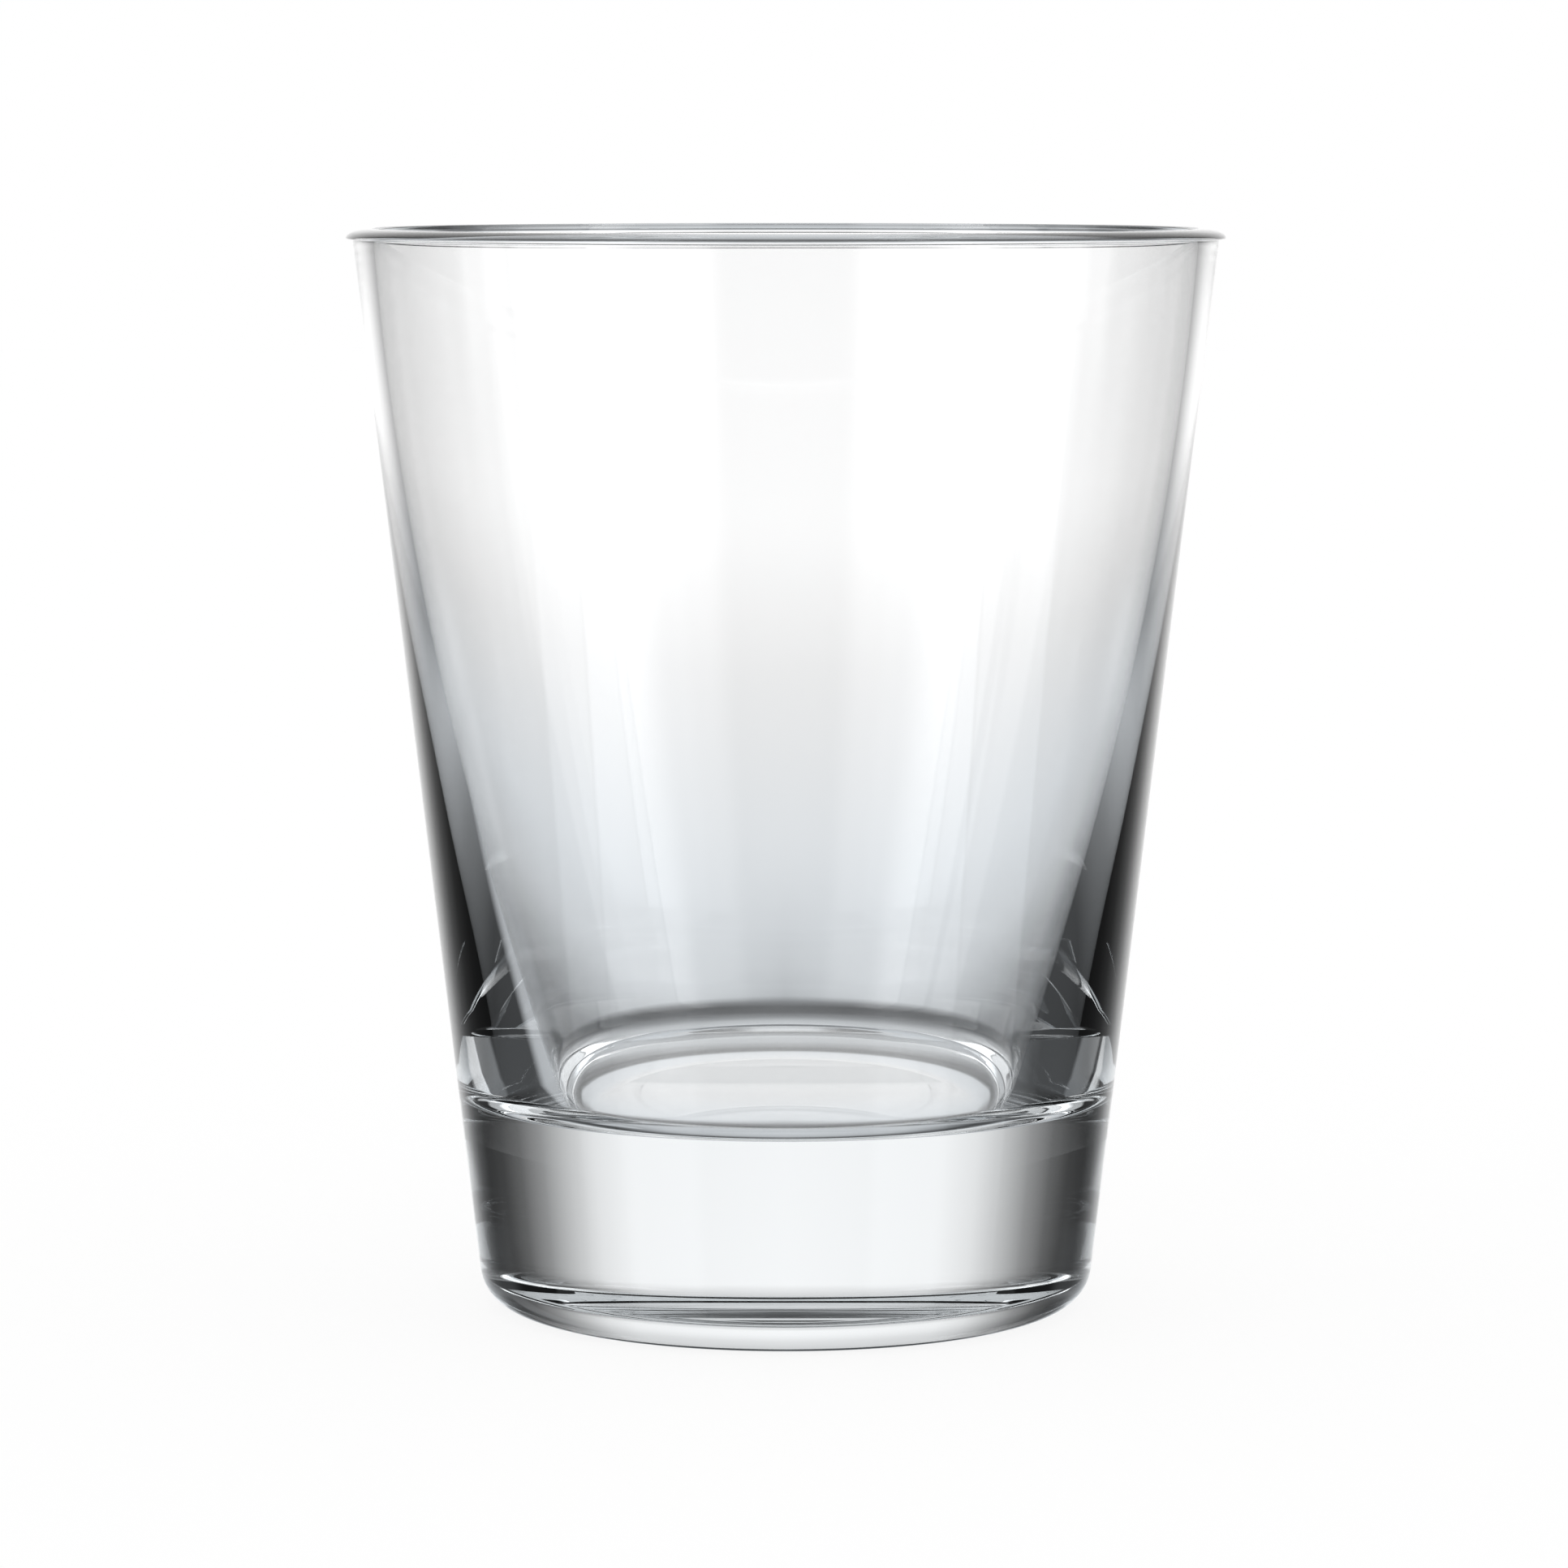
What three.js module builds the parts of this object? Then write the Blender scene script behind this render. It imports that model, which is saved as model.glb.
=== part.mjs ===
// A mixing glass: a heavy-bottomed tumbler pressed in one piece from clear glass.
// Millimetres, +Z up. The origin is on the glass's axis, in the plane that the foot stands on.
import * as THREE from 'three';

// Outside
const HEIGHT = 110;
const MOUTH_DIAMETER = 89;        // over the rim
const BASE_DIAMETER = 62;         // where the straight outer wall would reach the standing plane
const FOOT_CORNER_RADIUS = 4.2;
const FOOT_RING_WIDTH = 3;        // the flat ring that the glass stands on
const PUNT_DEPTH = 0.6;           // the hollow of the underside

// Rim
const RIM_OVERHANG = 0.7;         // how far the rim stands out of the wall under it
const RIM_FALL = 0.95;            // how far the rim's outer edge lies below its crest
const RIM_UNDERSIDE = 0.15;       // height of the rounding under the outer edge
const LIP_WIDTH = 0.2;            // from the crest in to the cavity's wall
const LIP_ROUNDING = 1.05;        // height of the rounding on the inside of the lip

// Inside
const BASE_THICKNESS = 21.1;      // the cavity's floor above the standing plane
const RIM_WALL = 2.1;             // wall at the mouth
const FLOOR_WALL = 9.1;           // wall at the level of the cavity's floor
const CAVITY_BOW = 2.6;           // how far the cavity's wall bows out from a straight line
const FLOOR_CORNER_RADIUS = 3.5;

// Fineness of the round surfaces
const RING_STEPS = 72;
const RIM_TOP_STEPS = 7;
const RIM_UNDERSIDE_STEPS = 3;
const CORNER_STEPS = 5;
const CAVITY_WALL_STEPS = 12;
const PUNT_STEPS = 4;

const GLASS_COLOR = 0xeef3f5;
const GLASS_ROUGHNESS = 0.03;

const rimRadius = MOUTH_DIAMETER / 2;
const wallTopRadius = rimRadius - RIM_OVERHANG;
const wallBottomRadius = BASE_DIAMETER / 2;
const crestRadius = wallTopRadius - RIM_WALL + LIP_WIDTH;

function outerWallRadius(z) {
  return wallBottomRadius + (wallTopRadius - wallBottomRadius) * z / HEIGHT;
}

function arcPoints(center, radius, fromAngle, toAngle, steps) {
  const clockwise = toAngle < fromAngle;
  const arc = new THREE.EllipseCurve(center.x, center.y, radius, radius, fromAngle, toAngle, clockwise);
  return arc.getPoints(steps);
}

// The underside: a shallow dome from the axis to the foot ring's inner edge, then the flat ring.
function underside(ringOuterRadius) {
  const domeEdge = ringOuterRadius - FOOT_RING_WIDTH;
  const domeRadius = (domeEdge ** 2 + PUNT_DEPTH ** 2) / (2 * PUNT_DEPTH);
  const domeCenter = new THREE.Vector2(0, PUNT_DEPTH - domeRadius);
  const edgeAngle = Math.atan2(-domeCenter.y, domeEdge);
  return [
    ...arcPoints(domeCenter, domeRadius, Math.PI / 2, edgeAngle, PUNT_STEPS),
    new THREE.Vector2(ringOuterRadius, 0),
  ];
}

// The rounding between the foot ring and the outer wall, tangent to both.
function footCorner() {
  const lean = Math.atan2(wallTopRadius - wallBottomRadius, HEIGHT);
  const centerRadius = outerWallRadius(FOOT_CORNER_RADIUS) - FOOT_CORNER_RADIUS / Math.cos(lean);
  const center = new THREE.Vector2(centerRadius, FOOT_CORNER_RADIUS);
  return arcPoints(center, FOOT_CORNER_RADIUS, -Math.PI / 2, -lean, CORNER_STEPS);
}

// A quarter of an ellipse about a centre, starting at the given angle and turning anticlockwise.
function quarterEllipse(center, halfWidth, halfHeight, fromAngle, steps) {
  const toAngle = fromAngle + Math.PI / 2;
  const curve = new THREE.EllipseCurve(center.x, center.y, halfWidth, halfHeight, fromAngle, toAngle, false);
  return curve.getPoints(steps);
}

// The rim, from the wall under it: a thin rounded underside, the outer edge, and the slope up to the crest.
function rim() {
  const overhangRoot = new THREE.Vector2(wallTopRadius, HEIGHT - RIM_FALL);
  const underCrest = new THREE.Vector2(crestRadius, HEIGHT - RIM_FALL);
  const slope = rimRadius - crestRadius;
  return [
    ...quarterEllipse(overhangRoot, RIM_OVERHANG, RIM_UNDERSIDE, -Math.PI / 2, RIM_UNDERSIDE_STEPS),
    ...quarterEllipse(underCrest, slope, RIM_FALL, 0, RIM_TOP_STEPS),
  ];
}

// The rounding from the crest down to the cavity's wall.
function lipInside() {
  const underCrest = new THREE.Vector2(crestRadius, HEIGHT - LIP_ROUNDING);
  return quarterEllipse(underCrest, LIP_WIDTH, LIP_ROUNDING, Math.PI / 2, CORNER_STEPS);
}

// The cavity's wall, a long arc from the lip down, and the rounding that carries it into the floor.
function cavity() {
  const top = new THREE.Vector2(wallTopRadius - RIM_WALL, HEIGHT - LIP_ROUNDING);
  const bottom = new THREE.Vector2(outerWallRadius(BASE_THICKNESS) - FLOOR_WALL, BASE_THICKNESS);
  const chord = bottom.clone().sub(top);
  const wallRadius = (chord.lengthSq() / 4 + CAVITY_BOW ** 2) / (2 * CAVITY_BOW);
  const towardsAxis = new THREE.Vector2(chord.y, -chord.x).normalize();
  const wallCenter = top.clone().add(bottom).multiplyScalar(0.5);
  wallCenter.addScaledVector(towardsAxis, wallRadius - CAVITY_BOW);

  const cornerHeight = BASE_THICKNESS + FLOOR_CORNER_RADIUS;
  const reach = Math.sqrt((wallRadius - FLOOR_CORNER_RADIUS) ** 2 - (cornerHeight - wallCenter.y) ** 2);
  const cornerCenter = new THREE.Vector2(wallCenter.x + reach, cornerHeight);
  const startAngle = top.clone().sub(wallCenter).angle();
  const meetAngle = Math.atan2(cornerCenter.y - wallCenter.y, cornerCenter.x - wallCenter.x);
  return [
    ...arcPoints(wallCenter, wallRadius, startAngle, meetAngle, CAVITY_WALL_STEPS),
    ...arcPoints(cornerCenter, FLOOR_CORNER_RADIUS, meetAngle, -Math.PI / 2, CORNER_STEPS),
    new THREE.Vector2(0, BASE_THICKNESS),
  ];
}

function dropRepeats(points) {
  const nearlyZero = 1e-6;
  return points.filter((point, i) => i === 0 || point.distanceTo(points[i - 1]) > nearlyZero);
}

function glassProfile() {
  const corner = footCorner();
  return dropRepeats([
    ...underside(corner[0].x),
    ...corner,
    ...rim(),
    ...lipInside(),
    ...cavity(),
  ]);
}

function makeGlass() {
  const geometry = new THREE.LatheGeometry(glassProfile(), RING_STEPS);
  geometry.rotateX(Math.PI / 2);
  const material = new THREE.MeshStandardMaterial({
    color: GLASS_COLOR,
    roughness: GLASS_ROUGHNESS,
    metalness: 0,
    transparent: true,
    opacity: 0.35,
  });
  const mesh = new THREE.Mesh(geometry, material);
  mesh.name = 'glass_tumbler';
  return mesh;
}

const mixingGlass = new THREE.Group();
mixingGlass.add(makeGlass());

export default mixingGlass;
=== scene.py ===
import math
from collections import namedtuple

import bmesh
import bpy
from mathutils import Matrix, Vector, noise


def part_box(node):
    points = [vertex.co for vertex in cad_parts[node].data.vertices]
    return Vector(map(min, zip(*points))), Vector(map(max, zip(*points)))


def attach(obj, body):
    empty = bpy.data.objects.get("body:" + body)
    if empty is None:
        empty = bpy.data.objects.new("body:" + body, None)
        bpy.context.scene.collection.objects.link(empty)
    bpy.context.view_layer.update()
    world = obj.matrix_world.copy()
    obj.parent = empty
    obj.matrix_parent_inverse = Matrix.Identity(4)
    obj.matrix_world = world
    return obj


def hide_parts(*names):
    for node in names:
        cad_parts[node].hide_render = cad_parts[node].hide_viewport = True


bl_info = {
    "name": "Mixing Glass",
    "version": (1, 0, 0),
    "blender": (4, 5, 0),
    "location": "View3D > Sidebar > Mixing Glass",
    "description": "Builds a heavy-bottomed mixing glass of pressed glass, and a plain white studio round it",
    "category": "Add Mesh",
}

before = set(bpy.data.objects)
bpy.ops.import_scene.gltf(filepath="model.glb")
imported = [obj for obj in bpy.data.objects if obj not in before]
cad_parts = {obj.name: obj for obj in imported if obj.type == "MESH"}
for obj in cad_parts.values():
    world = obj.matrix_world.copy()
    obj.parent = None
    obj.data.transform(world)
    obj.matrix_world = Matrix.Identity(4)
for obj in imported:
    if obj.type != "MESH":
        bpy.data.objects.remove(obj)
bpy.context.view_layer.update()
CAD_NODE = "glass_tumbler"
LOW, HIGH = (Vector(corner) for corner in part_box(CAD_NODE))

QUARTER_TURN = math.pi / 2
FULL_TURN = 2 * math.pi

# Fineness of the half section, and of the turn about the axis
PUNT_STEPS = 24
FOOT_RING_STEPS = 3
FOOT_CORNER_STEPS = 16
OUTER_WALL_STEPS = 40
RIM_UNDERSIDE_STEPS = 8
RIM_SLOPE_STEPS = 22
LIP_STEPS = 14
CAVITY_WALL_STEPS = 44
FLOOR_CORNER_STEPS = 12
FLOOR_STEPS = 12
TURN_STEPS = 320
LIP_RING_SHARE = 0.03   # how far down the wall's first step the ring under the lip lies
MERGE_DISTANCE = 1e-7
CRISP_ANGLE = math.radians(30)   # a sharper kink than this is shaded as an edge

# The slow noise that the cavity's wall wavers by
WAVE_FINENESS = 1.3
WAVE_RISE = 45.0   # how fast the noise changes with height, for each metre

# How many times a ray is followed on
MAX_BOUNCES = 20
GLOSSY_BOUNCES = 8
TRANSMISSION_BOUNCES = 12

# The light that the glass sees. Angles are in degrees. Azimuth 0 is behind the glass and 180 is at the
# camera, and elevation 0 is level. Between two stops the level changes evenly.
FULL_HEIGHT = (-90.0, 180.0)
BACKDROP_BY_ELEVATION = (
    (-90, 0.7), (-56, 0.5), (-46, 0.25), (-38, 0.06), (-30, 0.07), (-25, 0.27), (-20, 0.7), (-16, 0.86),
    (-10, 0.97), (-6, 1.15), (8, 1.12), (18, 0.9), (32, 0.8), (50, 0.8), (90, 0.6),
)
SIDES_BY_ELEVATION = (
    (-90, 0.65), (-60, 0.6), (-46, 0.35), (-36, 0.22), (-27, 0.2), (-20, 0.12), (-14, 0.06), (-10, 0.03),
    (-6, 0.02), (14, 0.02), (28, 0.04), (40, 0.4), (55, 0.8), (90, 0.9),
)
FRONT_QUARTER = (0.0, 90.0)
BACKDROP_SHARE_BY_AZIMUTH = (
    (0, 1.0), (20, 0.95), (25, 0.81), (30, 0.55), (36, 0.28), (43, 0.1), (50, 0.03), (58, 0.0),
)
TABLE_BACKDROP_AZIMUTH = (-1.0, 56.0, 12.0)   # limits and softness
TABLE_STARTS = (-14.0, -22.0)
BOUNCE_STARTS = (-8.0, -18.0)
WINDOW_AZIMUTH = (82.0, 98.0, 3.0)
WINDOW_OPENS = (-13.0, -6.0)
WINDOW_LOW_LEVEL = 0.25
STRIP_ELEVATION = (-19.0, 50.0, 6.0)

# A soft-edged patch of light, with (low, high, softness) in azimuth and in elevation. One that is on both
# sides lies at the same angle to the left and to the right.
Patch = namedtuple("Patch", "both_sides azimuth elevation level")
SIDE_PATCHES = (
    Patch(True, WINDOW_AZIMUTH, (-25.0, -17.0, 6.0), 0.35),
    Patch(True, (123.0, 159.0, 10.0), (-19.0, 50.0, 6.0), 0.75),
)

# A strip light from its start round to its end in azimuth, with its own softness at each
StripLight = namedtuple("StripLight", "start end soft_start soft_end strength")
STRIP_LIGHTS = (
    StripLight(-118.0, -101.0, 1.5, 2.0, 1.2),
    StripLight(-140.0, -117.0, 16.0, 2.0, 2.3),
    StripLight(120.0, 139.0, 1.5, 14.0, 2.3),
    StripLight(95.0, 121.0, 1.5, 2.0, 1.3),
)


class MixingGlassSizes(bpy.types.PropertyGroup):
    """Sizes of the glass."""

    height: bpy.props.FloatProperty(
        name="Height",
        description="From the standing plane to the crest of the rim",
        default=HIGH.z - LOW.z, unit="LENGTH", subtype="DISTANCE",
    )
    mouth_radius: bpy.props.FloatProperty(
        name="Mouth radius",
        description="Radius over the edge of the rim",
        default=(HIGH.x - LOW.x) / 2, unit="LENGTH", subtype="DISTANCE",
    )
    base_radius: bpy.props.FloatProperty(
        name="Base radius",
        description="Where the straight outer wall would reach the standing plane",
        default=0.031, unit="LENGTH", subtype="DISTANCE",
    )
    foot_corner: bpy.props.FloatProperty(
        name="Foot corner",
        description="Radius of the rounding between the outer wall and the foot ring",
        default=0.0042, unit="LENGTH", subtype="DISTANCE",
    )
    foot_ring_width: bpy.props.FloatProperty(
        name="Foot ring",
        description="Width of the flat ring that the glass stands on",
        default=0.003, unit="LENGTH", subtype="DISTANCE",
    )
    punt_depth: bpy.props.FloatProperty(
        name="Punt depth",
        description="Depth of the shallow hollow in the underside",
        default=0.0006, unit="LENGTH", subtype="DISTANCE",
    )
    rim_overhang: bpy.props.FloatProperty(
        name="Rim overhang",
        description="How far the rim stands out of the wall under it",
        default=0.0007, unit="LENGTH", subtype="DISTANCE",
    )
    rim_fall: bpy.props.FloatProperty(
        name="Rim fall",
        description="How far the rim's outer edge lies below its crest",
        default=0.00095, unit="LENGTH", subtype="DISTANCE",
    )
    rim_underside: bpy.props.FloatProperty(
        name="Rim underside",
        description="Height of the rounding under the rim's outer edge",
        default=0.00015, unit="LENGTH", subtype="DISTANCE",
    )
    lip_width: bpy.props.FloatProperty(
        name="Lip width",
        description="From the crest in to the cavity's wall",
        default=0.0002, unit="LENGTH", subtype="DISTANCE",
    )
    lip_rounding: bpy.props.FloatProperty(
        name="Lip rounding",
        description="Height of the rounding on the inside of the lip",
        default=0.00105, unit="LENGTH", subtype="DISTANCE",
    )
    base_thickness: bpy.props.FloatProperty(
        name="Base thickness",
        description="Height of the cavity's floor over the standing plane",
        default=0.0211, unit="LENGTH", subtype="DISTANCE",
    )
    rim_wall: bpy.props.FloatProperty(
        name="Rim wall",
        description="Thickness of the wall at the mouth",
        default=0.0021, unit="LENGTH", subtype="DISTANCE",
    )
    floor_wall: bpy.props.FloatProperty(
        name="Floor wall",
        description="Thickness of the wall at the level of the cavity's floor",
        default=0.0091, unit="LENGTH", subtype="DISTANCE",
    )
    cavity_bow: bpy.props.FloatProperty(
        name="Cavity bow",
        description="How far the cavity's wall bows out from a straight line",
        default=0.0026, unit="LENGTH", subtype="DISTANCE",
    )
    floor_corner: bpy.props.FloatProperty(
        name="Floor corner",
        description="Radius of the rounding between the cavity's wall and floor",
        default=0.0035, unit="LENGTH", subtype="DISTANCE",
    )
    waviness: bpy.props.FloatProperty(
        name="Waviness",
        description="How far the pressed cavity wall strays from a true surface",
        default=0.000015, unit="LENGTH", subtype="DISTANCE",
    )


class MixingGlassLook(bpy.types.PropertyGroup):
    """Finish of the glass."""

    ior: bpy.props.FloatProperty(
        name="Index of refraction",
        description="Soda-lime glass is about 1.52",
        default=1.52, min=1.0, max=2.0,
    )
    tint: bpy.props.FloatVectorProperty(
        name="Tint",
        description="Colour that light keeps after a long way through the glass",
        default=(0.82, 0.845, 0.86), size=3, min=0.0, max=1.0, subtype="COLOR",
    )
    tint_density: bpy.props.FloatProperty(
        name="Tint density",
        description="Strength of the tint for each metre of glass",
        default=13.0, min=0.0,
    )
    haze: bpy.props.FloatProperty(
        name="Haze",
        description="Roughness of the haziest spots of the surface",
        default=0.008, min=0.0, max=1.0, subtype="FACTOR",
    )
    ripple: bpy.props.FloatProperty(
        name="Ripple",
        description="How strongly the surface's slow ripple tilts it",
        default=0.03, min=0.0, max=1.0, subtype="FACTOR",
    )
    ripple_height: bpy.props.FloatProperty(
        name="Ripple height",
        description="Height of the surface's slow ripple at full strength",
        default=0.0003, unit="LENGTH", subtype="DISTANCE",
    )


class MixingGlassStudio(bpy.types.PropertyGroup):
    """The stage and its light."""

    white: bpy.props.FloatVectorProperty(
        name="White",
        description="Colour of the floor and the backdrop",
        default=(1.0, 1.0, 1.0), size=3, min=0.0, max=1.0, subtype="COLOR",
    )
    shadow_share: bpy.props.FloatProperty(
        name="Shadow share",
        description="Share of the floor's white that shadows can darken",
        default=0.12, min=0.0, max=1.0, subtype="FACTOR",
    )
    floor_radius: bpy.props.FloatProperty(
        name="Floor radius",
        description="Radius of the round floor",
        default=3.0, unit="LENGTH", subtype="DISTANCE",
    )
    bounce: bpy.props.FloatVectorProperty(
        name="Bounce",
        description="Tint of the light that comes up from the table",
        default=(0.955, 1.0, 1.04), size=3, min=0.0, max=1.2, subtype="COLOR",
    )
    table_patch: bpy.props.FloatProperty(
        name="Table patches",
        description="Brightness of the lit parts of the table beside the glass",
        default=0.7, min=0.0, max=1.0,
    )
    side_window: bpy.props.FloatProperty(
        name="Side windows",
        description="Brightness of the white openings to the left and right of the glass",
        default=0.85, min=0.0, max=1.0,
    )
    camera_distance: bpy.props.FloatProperty(
        name="Camera distance",
        description="From the glass's axis to the camera, along the floor",
        default=0.6209, unit="LENGTH", subtype="DISTANCE",
    )
    camera_aside: bpy.props.FloatProperty(
        name="Camera aside",
        description="How far the camera stands to the right of the glass's axis",
        default=-0.00019, unit="LENGTH", subtype="DISTANCE",
    )
    camera_height: bpy.props.FloatProperty(
        name="Camera height",
        description="Height of the camera over the floor",
        default=0.11795, unit="LENGTH", subtype="DISTANCE",
    )
    camera_pitch: bpy.props.FloatProperty(
        name="Camera pitch",
        description="How far the camera looks down",
        default=math.radians(5.936), subtype="ANGLE",
    )
    lens: bpy.props.FloatProperty(
        name="Lens",
        description="Focal length of the camera in millimetres",
        default=140.2,
    )


def arc(center, radii, start, end, steps):
    """Points of an ellipse's arc as (radius, height) pairs, both ends included."""
    turn = (end - start) / steps
    return [
        Vector((
            center[0] + radii[0] * math.cos(start + turn * i),
            center[1] + radii[1] * math.sin(start + turn * i),
        ))
        for i in range(steps + 1)
    ]


def straight(start, end, steps):
    """Points of a straight line, without its ends."""
    return [start.lerp(end, i / steps) for i in range(1, steps)]


def wall_top_radius(sizes):
    """Radius of the outer wall where it would reach the top."""
    return sizes.mouth_radius - sizes.rim_overhang


def outer_wall_radius(sizes, z):
    """Radius of the straight outer wall at a height."""
    return sizes.base_radius + (wall_top_radius(sizes) - sizes.base_radius) * z / sizes.height


def underside_outline(sizes, ring_radius):
    """The shallow dome of the punt, from the axis outward."""
    edge = ring_radius - sizes.foot_ring_width
    radius = (edge ** 2 + sizes.punt_depth ** 2) / (2 * sizes.punt_depth)
    center = (0.0, sizes.punt_depth - radius)
    edge_angle = math.atan2(-center[1], edge)
    return arc(center, (radius, radius), QUARTER_TURN, edge_angle, PUNT_STEPS)


def foot_corner_outline(sizes):
    """The rounding from the foot ring to the outer wall."""
    lean = math.atan2(wall_top_radius(sizes) - sizes.base_radius, sizes.height)
    corner = sizes.foot_corner
    center = (outer_wall_radius(sizes, corner) - corner / math.cos(lean), corner)
    return arc(center, (corner, corner), -QUARTER_TURN, -lean, FOOT_CORNER_STEPS)


def rim_outline(sizes):
    """The rim from the wall under it: thin underside, outer edge, slope to the crest, and lip."""
    wall = wall_top_radius(sizes)
    crest = wall - sizes.rim_wall + sizes.lip_width
    edge = sizes.height - sizes.rim_fall
    underside = arc(
        (wall, edge), (sizes.rim_overhang, sizes.rim_underside),
        -QUARTER_TURN, 0.0, RIM_UNDERSIDE_STEPS,
    )
    slope = arc(
        (crest, edge), (sizes.mouth_radius - crest, sizes.rim_fall),
        0.0, QUARTER_TURN, RIM_SLOPE_STEPS,
    )
    lip = arc(
        (crest, sizes.height - sizes.lip_rounding), (sizes.lip_width, sizes.lip_rounding),
        QUARTER_TURN, math.pi, LIP_STEPS,
    )
    return underside + slope[1:] + lip[1:]


def cavity_outline(sizes):
    """The bowed wall of the cavity from the lip down, its floor corner and its flat floor."""
    top = Vector((wall_top_radius(sizes) - sizes.rim_wall, sizes.height - sizes.lip_rounding))
    floor = sizes.base_thickness
    bottom = Vector((outer_wall_radius(sizes, floor) - sizes.floor_wall, floor))
    chord = bottom - top
    radius = (chord.length_squared / 4 + sizes.cavity_bow ** 2) / (2 * sizes.cavity_bow)
    to_axis = Vector((chord.y, -chord.x)).normalized()
    center = (top + bottom) / 2 + to_axis * (radius - sizes.cavity_bow)

    corner = sizes.floor_corner
    rise = floor + corner - center.y
    reach = math.sqrt((radius - corner) ** 2 - rise ** 2)
    corner_center = Vector((center.x + reach, floor + corner))
    start = math.atan2(top.y - center.y, top.x - center.x)
    meet = math.atan2(corner_center.y - center.y, corner_center.x - center.x)
    wall = arc(center, (radius, radius), start, meet, CAVITY_WALL_STEPS)
    # A ring close under the lip keeps the lip's shading off the wall.
    wall.insert(1, wall[0].lerp(wall[1], LIP_RING_SHARE))
    rounding = arc(corner_center, (corner, corner), meet, -QUARTER_TURN, FLOOR_CORNER_STEPS)
    middle = Vector((0.0, floor))
    return wall + rounding[1:] + straight(rounding[-1], middle, FLOOR_STEPS) + [middle]


def glass_outline(sizes):
    """The whole half section, from the axis under the glass round to the axis in the cavity."""
    corner = foot_corner_outline(sizes)
    rim = rim_outline(sizes)
    ring_outside = corner[0]
    ring_inside = Vector((ring_outside.x - sizes.foot_ring_width, 0.0))
    return (
        underside_outline(sizes, ring_outside.x)
        + straight(ring_inside, ring_outside, FOOT_RING_STEPS)
        + corner
        + straight(corner[-1], rim[0], OUTER_WALL_STEPS)
        + rim
        + cavity_outline(sizes)[1:]
    )


def spun_mesh(name, outline):
    """A closed mesh turned from a half section about the glass's axis."""
    bm = bmesh.new()
    chain = [bm.verts.new((point.x, 0.0, point.y)) for point in outline]
    edges = [bm.edges.new(pair) for pair in zip(chain, chain[1:])]
    bmesh.ops.spin(
        bm, geom=chain + edges, cent=(0, 0, 0), axis=(0, 0, 1),
        angle=FULL_TURN, steps=TURN_STEPS, use_merge=True,
    )
    bmesh.ops.remove_doubles(bm, verts=bm.verts, dist=MERGE_DISTANCE)
    bmesh.ops.recalc_face_normals(bm, faces=bm.faces)
    for face in bm.faces:
        face.smooth = True
    for edge in bm.edges:
        edge.smooth = edge.calc_face_angle(0.0) < CRISP_ANGLE
    mesh = bpy.data.meshes.new(name)
    bm.to_mesh(mesh)
    bm.free()
    return mesh


def waver_cavity(mesh, sizes):
    """Lets the pressed cavity wall stray a little from a true surface, more in its middle."""
    low = sizes.base_thickness + sizes.floor_corner
    high = sizes.height - sizes.lip_rounding
    for vertex in mesh.vertices:
        x, y, z = vertex.co
        radius = math.hypot(x, y)
        inside = radius < outer_wall_radius(sizes, z) - sizes.rim_wall / 2
        if not inside or not low < z < high:
            continue
        fade = math.sin(math.pi * (z - low) / (high - low))
        place = Vector((x / radius, y / radius, z * WAVE_RISE))
        stray = sizes.waviness * fade * noise.noise(place * WAVE_FINENESS)
        vertex.co.x += stray * x / radius
        vertex.co.y += stray * y / radius


def new_object(name, data):
    """Adds an object to the scene, at the origin."""
    made = bpy.data.objects.new(name, data)
    bpy.context.scene.collection.objects.link(made)
    return made


def node(tree, kind, inputs=None, **settings):
    """Adds a node, sets its properties, and fills or links its inputs."""
    made = tree.nodes.new(kind)
    for key, value in settings.items():
        setattr(made, key, value)
    for key, value in (inputs or {}).items():
        socket = made.inputs[key]
        if isinstance(value, bpy.types.NodeSocket):
            tree.links.new(value, socket)
        else:
            socket.default_value = value
    return made


def rgba(color):
    """A colour with full alpha, as the colour sockets want it."""
    return (*color, 1.0)


def math_node(tree, operation, *values):
    """One sum on numbers or sockets."""
    return node(tree, "ShaderNodeMath", dict(enumerate(values)), operation=operation).outputs[0]


def mix(tree, share, first, second):
    """The first number where the share is 0, and the second where it's 1."""
    return node(tree, "ShaderNodeMix", {0: share, 2: first, 3: second}).outputs[0]


def mix_colors(tree, share, first, second):
    """The first colour where the share is 0, and the second where it's 1."""
    return node(tree, "ShaderNodeMix", {0: share, 6: first, 7: second}, data_type="RGBA").outputs[2]


def smooth_step(tree, value, start, end, low=0.0, high=1.0):
    """Goes smoothly from the low level to the high one while a value goes from its start to its end."""
    return node(tree, "ShaderNodeMapRange", {
        "Value": value, "From Min": start, "From Max": end, "To Min": low, "To Max": high,
    }, interpolation_type="SMOOTHSTEP").outputs[0]


def band(tree, value, low, high, soft):
    """1 where a value lies between two limits, with soft edges."""
    rise = smooth_step(tree, value, low - soft / 2, low + soft / 2)
    fall = smooth_step(tree, value, high + soft / 2, high - soft / 2)
    return math_node(tree, "MULTIPLY", rise, fall)


def levels(tree, angle, reach, stops):
    """Light levels along an angle, from (degrees, level) pairs, with straight slopes between them."""
    start, span = reach
    place = math_node(tree, "DIVIDE", math_node(tree, "SUBTRACT", angle, start), span)
    ramp = node(tree, "ShaderNodeValToRGB", {0: place})
    elements = ramp.color_ramp.elements
    for degrees, _ in stops[1:-1]:
        elements.new((degrees - start) / span)
    for element, (degrees, level) in zip(elements, stops):
        element.position = (degrees - start) / span
        element.color = rgba((level, level, level))
    return ramp.outputs[0]


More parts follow.
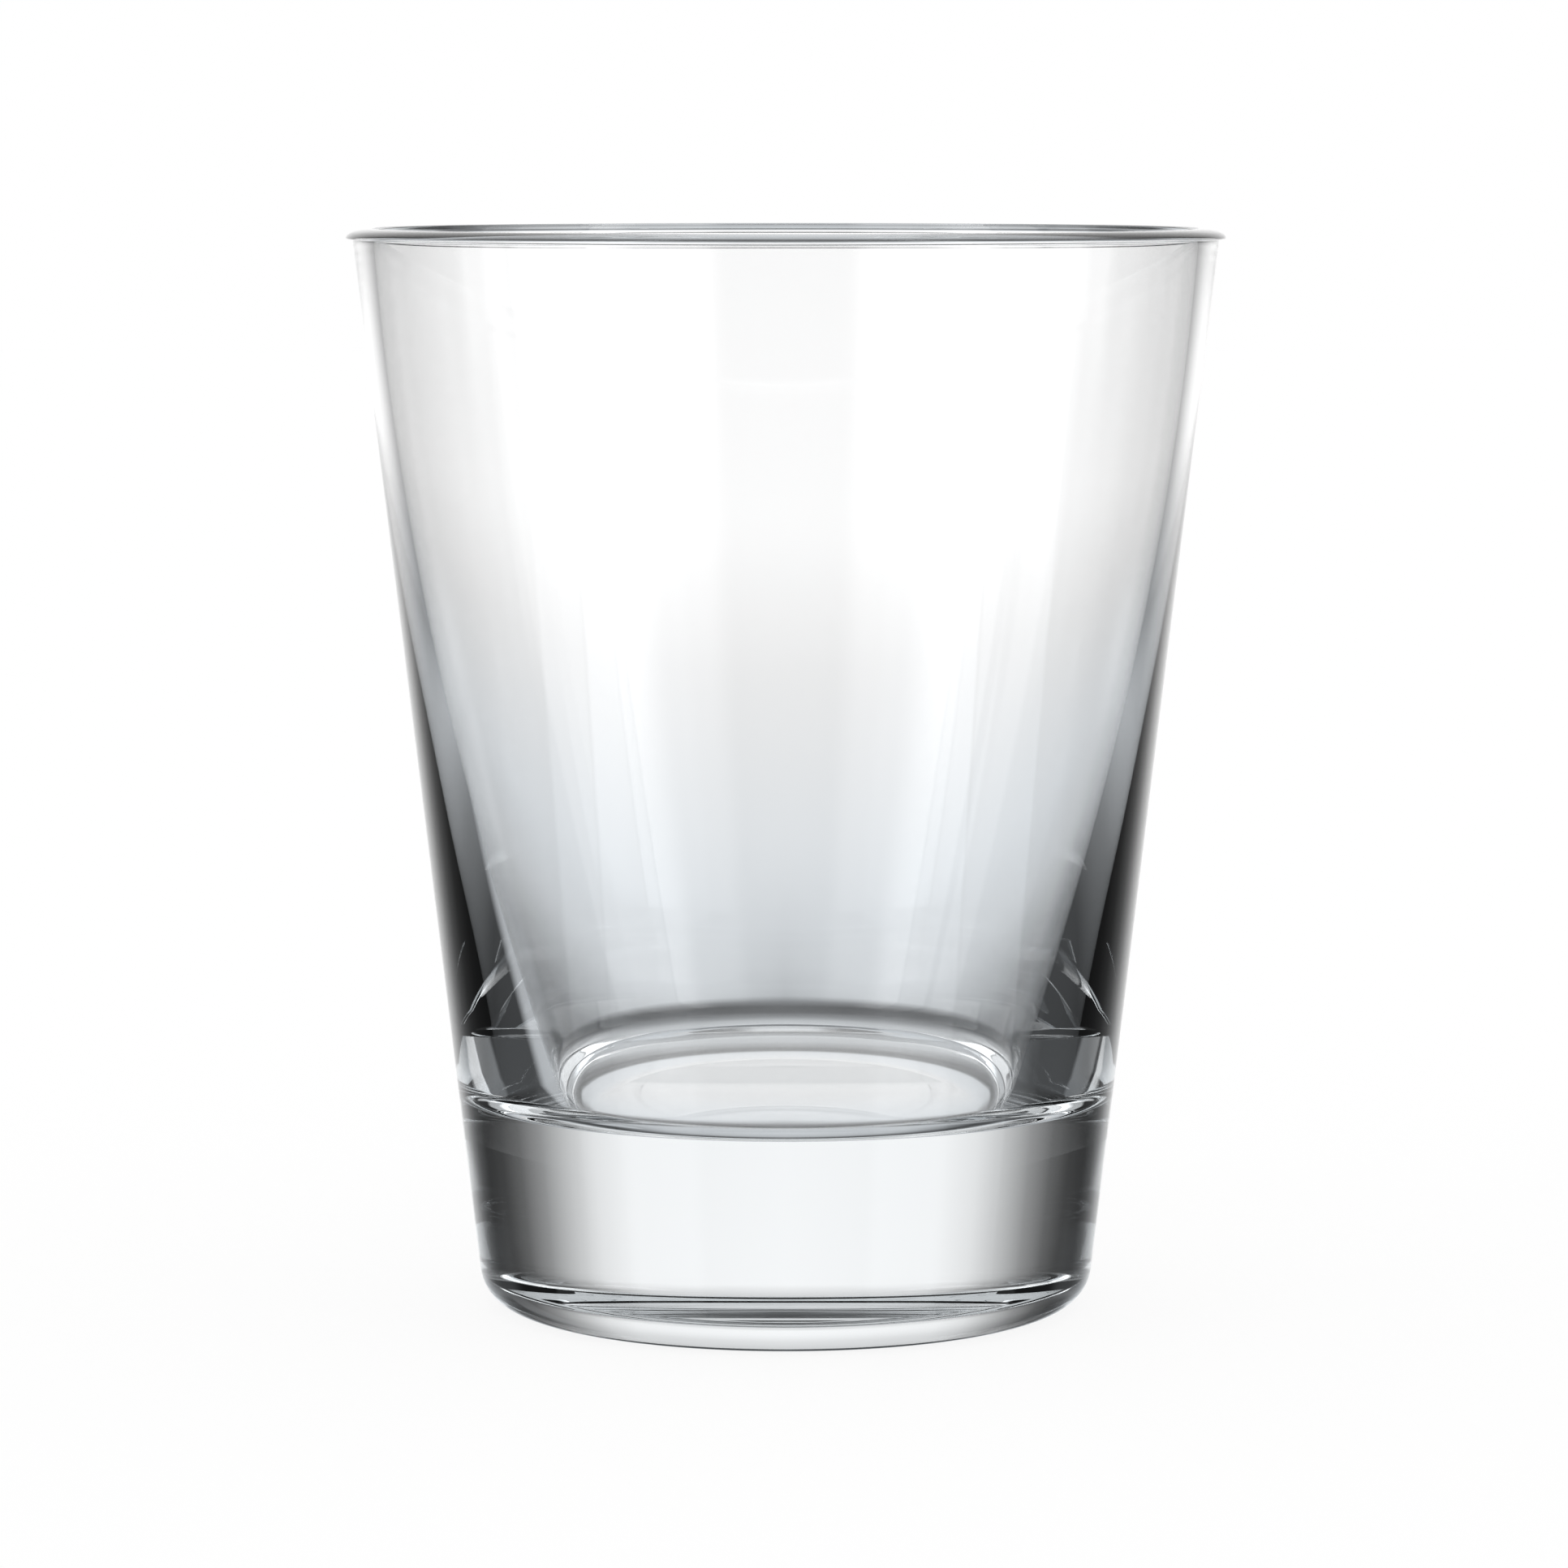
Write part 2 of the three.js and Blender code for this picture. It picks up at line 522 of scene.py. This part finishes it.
def clear_glass(look):
    """Clear pressed glass: smooth, a little uneven, faintly tinted in the thick."""
    material = bpy.data.materials.new("clear_pressed_glass")
    material.use_nodes = True
    tree = material.node_tree
    tree.nodes.clear()
    place = node(tree, "ShaderNodeTexCoord").outputs["Object"]
    ripple = node(tree, "ShaderNodeTexNoise", {"Vector": place, "Scale": 24.0, "Detail": 0.0})
    haze = node(tree, "ShaderNodeTexNoise", {"Vector": place, "Scale": 160.0, "Detail": 3.0})
    roughness = node(tree, "ShaderNodeMapRange", {
        "Value": haze.outputs["Fac"], "From Min": 0.35, "From Max": 0.75, "To Min": 0.0, "To Max": look.haze,
    })
    bump = node(tree, "ShaderNodeBump", {
        "Height": ripple.outputs["Fac"], "Strength": look.ripple, "Distance": look.ripple_height,
    })
    glass = node(tree, "ShaderNodeBsdfPrincipled", {
        "Base Color": rgba((1.0, 1.0, 1.0)), "Metallic": 0.0, "IOR": look.ior, "Transmission Weight": 1.0,
        "Roughness": roughness.outputs[0], "Normal": bump.outputs[0],
    })
    tint = node(tree, "ShaderNodeVolumeAbsorption", {
        "Color": rgba(look.tint), "Density": look.tint_density,
    })
    node(tree, "ShaderNodeOutputMaterial", {"Surface": glass.outputs[0], "Volume": tint.outputs[0]})
    return material


def floor_paper(studio):
    """White paper, lit evenly enough that only a faint shadow shows on it."""
    material = bpy.data.materials.new("floor_paper")
    material.use_nodes = True
    tree = material.node_tree
    tree.nodes.clear()
    lit = node(tree, "ShaderNodeEmission", {"Color": rgba(studio.white), "Strength": 1.0})
    paper = node(tree, "ShaderNodeBsdfDiffuse", {"Color": rgba(studio.white)})
    mixed = node(tree, "ShaderNodeMixShader", {
        0: studio.shadow_share, 1: lit.outputs[0], 2: paper.outputs[0],
    })
    node(tree, "ShaderNodeOutputMaterial", {"Surface": mixed.outputs[0]})
    return material


def backdrop_and_sides(tree, across, elevation, studio):
    """The light from the backdrop behind the glass, and from the dark sides with their white windows."""
    backdrop = levels(tree, elevation, FULL_HEIGHT, BACKDROP_BY_ELEVATION)
    sides = levels(tree, elevation, FULL_HEIGHT, SIDES_BY_ELEVATION)
    behind = levels(tree, across, FRONT_QUARTER, BACKDROP_SHARE_BY_AZIMUTH)
    window = band(tree, across, *WINDOW_AZIMUTH)
    opening = smooth_step(tree, elevation, *WINDOW_OPENS, WINDOW_LOW_LEVEL, studio.side_window)
    upper = math_node(tree, "MAXIMUM", behind, math_node(tree, "MULTIPLY", window, opening))
    lower = band(tree, across, *TABLE_BACKDROP_AZIMUTH)
    share = mix(tree, smooth_step(tree, elevation, *TABLE_STARTS), upper, lower)
    return mix(tree, share, sides, backdrop)


def with_patches(tree, room, azimuth, across, elevation, studio):
    """The room with the lit parts of the table and the paler places beside the glass."""
    table = (
        Patch(False, (-58.0, -41.0, 8.0), (-53.0, -21.0, 6.0), 0.8 * studio.table_patch),
        Patch(True, (121.0, 149.0, 8.0), (-46.0, -18.0, 8.0), studio.table_patch),
    )
    for patch in table + SIDE_PATCHES:
        breadth = band(tree, across if patch.both_sides else azimuth, *patch.azimuth)
        card = math_node(tree, "MULTIPLY", breadth, band(tree, elevation, *patch.elevation))
        room = math_node(tree, "MAXIMUM", room, math_node(tree, "MULTIPLY", card, patch.level))
    return room


def with_strip_lights(tree, room, azimuth, elevation):
    """The room with the upright strip lights in it."""
    upright = band(tree, elevation, *STRIP_ELEVATION)
    for light in STRIP_LIGHTS:
        rise = smooth_step(tree, azimuth, light.start, light.start + light.soft_start)
        fall = smooth_step(tree, azimuth, light.end, light.end - light.soft_end)
        card = math_node(tree, "MULTIPLY", math_node(tree, "MULTIPLY", rise, fall), upright)
        room = mix(tree, card, room, light.strength)
    return room


def studio_world(studio):
    """A white room for the eye. The glass sees a lit backdrop, dark sides with windows, and strip lights."""
    world = bpy.data.worlds.new("white_studio")
    bpy.context.scene.world = world
    world.use_nodes = True
    tree = world.node_tree
    tree.nodes.clear()
    direction = node(tree, "ShaderNodeTexCoord").outputs["Generated"]
    unit = node(tree, "ShaderNodeVectorMath", {0: direction}, operation="NORMALIZE").outputs[0]
    x, y, z = node(tree, "ShaderNodeSeparateXYZ", {0: unit}).outputs
    azimuth = math_node(tree, "DEGREES", math_node(tree, "ARCTAN2", x, y))
    elevation = math_node(tree, "DEGREES", math_node(tree, "ARCSINE", z))
    across = math_node(tree, "ABSOLUTE", azimuth)

    room = backdrop_and_sides(tree, across, elevation, studio)
    room = with_patches(tree, room, azimuth, across, elevation, studio)
    room = with_strip_lights(tree, room, azimuth, elevation)
    from_table = smooth_step(tree, elevation, *BOUNCE_STARTS)
    tint = mix_colors(tree, from_table, rgba(studio.white), rgba(studio.bounce))
    tinted = node(tree, "ShaderNodeVectorMath", {0: tint, 3: room}, operation="SCALE").outputs[0]

    path = node(tree, "ShaderNodeLightPath")
    plain = math_node(tree, "MAXIMUM", path.outputs["Is Camera Ray"], path.outputs["Is Diffuse Ray"])
    seen = mix_colors(tree, plain, tinted, rgba(studio.white))
    back = node(tree, "ShaderNodeBackground", {"Color": seen, "Strength": 1.0})
    node(tree, "ShaderNodeOutputWorld", {"Surface": back.outputs[0]})


def studio_floor(studio):
    """A wide round floor, hidden from the glass, which sees the studio instead."""
    bm = bmesh.new()
    bmesh.ops.create_circle(bm, cap_ends=True, segments=96, radius=studio.floor_radius)
    mesh = bpy.data.meshes.new("floor")
    bm.to_mesh(mesh)
    bm.free()
    mesh.materials.append(floor_paper(studio))
    floor = new_object("floor", mesh)
    floor.visible_transmission = False
    floor.visible_glossy = False


def studio_camera(studio):
    """The camera, level across and looking a little down at the glass."""
    optics = bpy.data.cameras.new("camera")
    optics.lens = studio.lens
    optics.clip_start = 0.01
    camera = new_object("camera", optics)
    camera.location = (studio.camera_aside, -studio.camera_distance, studio.camera_height)
    camera.rotation_euler = (QUARTER_TURN - studio.camera_pitch, 0.0, 0.0)
    bpy.context.scene.camera = camera


class MIXINGGLASS_OT_glass(bpy.types.Operator):
    """Build the glass and give it its material"""

    bl_idname = "mixing_glass.glass"
    bl_label = "Glass"
    bl_options = {"REGISTER", "UNDO"}

    def execute(self, context):
        scene = context.scene
        sizes = scene.mixing_glass_sizes
        mesh = spun_mesh("pressed_glass", glass_outline(sizes))
        waver_cavity(mesh, sizes)
        mesh.materials.append(clear_glass(scene.mixing_glass_look))
        glass = new_object("pressed_glass", mesh)
        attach(glass, "root")
        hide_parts(CAD_NODE)
        return {"FINISHED"}


class MIXINGGLASS_OT_stage(bpy.types.Operator):
    """Lay the floor, light the studio and set up the camera"""

    bl_idname = "mixing_glass.stage"
    bl_label = "Stage"
    bl_options = {"REGISTER", "UNDO"}

    def execute(self, context):
        scene = context.scene
        studio = scene.mixing_glass_studio
        studio_world(studio)
        studio_floor(studio)
        studio_camera(studio)
        scene.view_settings.view_transform = "Standard"
        scene.cycles.max_bounces = MAX_BOUNCES
        scene.cycles.glossy_bounces = GLOSSY_BOUNCES
        scene.cycles.transmission_bounces = TRANSMISSION_BOUNCES
        return {"FINISHED"}


class MIXINGGLASS_PT_panel(bpy.types.Panel):
    """The glass's and the studio's settings and buttons"""

    bl_idname = "MIXINGGLASS_PT_panel"
    bl_label = "Mixing Glass"
    bl_space_type = "VIEW_3D"
    bl_region_type = "UI"
    bl_category = "Mixing Glass"

    def draw(self, context):
        scene = context.scene
        for group in (scene.mixing_glass_sizes, scene.mixing_glass_look, scene.mixing_glass_studio):
            column = self.layout.column(align=True)
            for key in group.__annotations__:
                column.prop(group, key)
        for operator in OPERATORS:
            self.layout.operator(operator.bl_idname)


OPERATORS = (MIXINGGLASS_OT_glass, MIXINGGLASS_OT_stage)
GROUPS = {
    "mixing_glass_sizes": MixingGlassSizes,
    "mixing_glass_look": MixingGlassLook,
    "mixing_glass_studio": MixingGlassStudio,
}
CLASSES = (*GROUPS.values(), *OPERATORS, MIXINGGLASS_PT_panel)


def register():
    for cls in CLASSES:
        bpy.utils.register_class(cls)
    for name, group in GROUPS.items():
        setattr(bpy.types.Scene, name, bpy.props.PointerProperty(type=group))


def unregister():
    for name in GROUPS:
        delattr(bpy.types.Scene, name)
    for cls in reversed(CLASSES):
        bpy.utils.unregister_class(cls)


def main():
    register()
    bpy.ops.mixing_glass.glass()
    bpy.ops.mixing_glass.stage()


if __name__ == "__main__":
    main()
